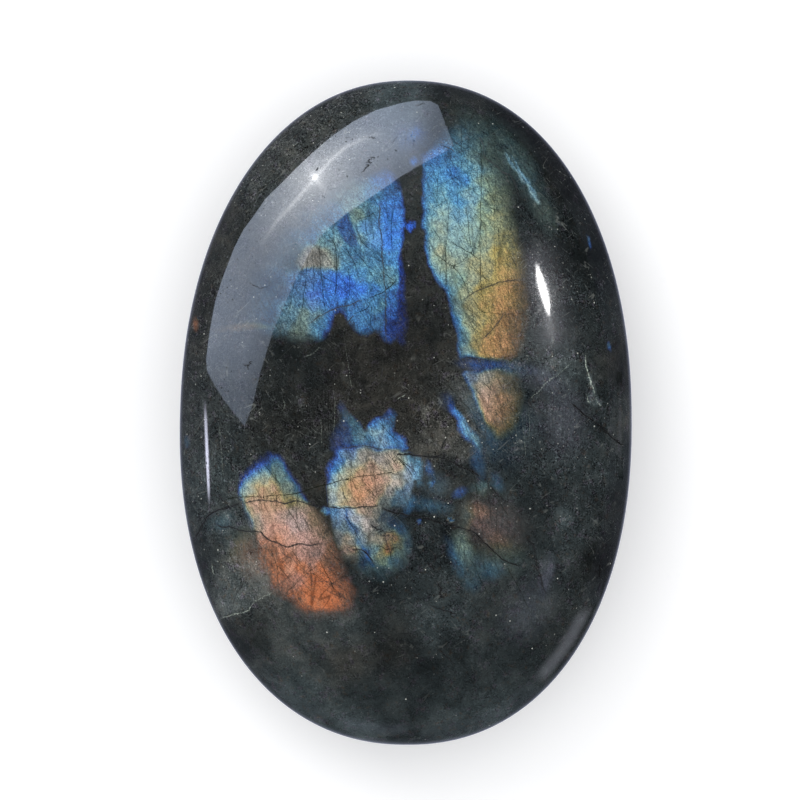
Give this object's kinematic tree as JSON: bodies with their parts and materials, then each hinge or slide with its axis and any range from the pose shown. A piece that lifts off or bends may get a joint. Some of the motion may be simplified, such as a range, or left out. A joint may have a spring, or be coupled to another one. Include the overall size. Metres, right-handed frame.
{
  "type": "polished labradorite palm stone",
  "caption": "Oval palm stone of polished dark labradorite, domed on the front and the back, with blue, gold and copper flashes. It lies on a small flat on its back.",
  "frame": {"origin": "on the surface that the stone lies on, under the middle of its outline", "axes": "+Z out of the domed front face, +Y along the length towards the end that is at the top of the picture, +X to the picture's right"},
  "size_m": [0.0476, 0.07, 0.0235],
  "materials": {
    "labradorite": "glassy polish, grey-black with cracks and patches of spectral colour"
  },
  "bodies": {
    "root": {"stone": "labradorite"}
  },
  "joints": []
}
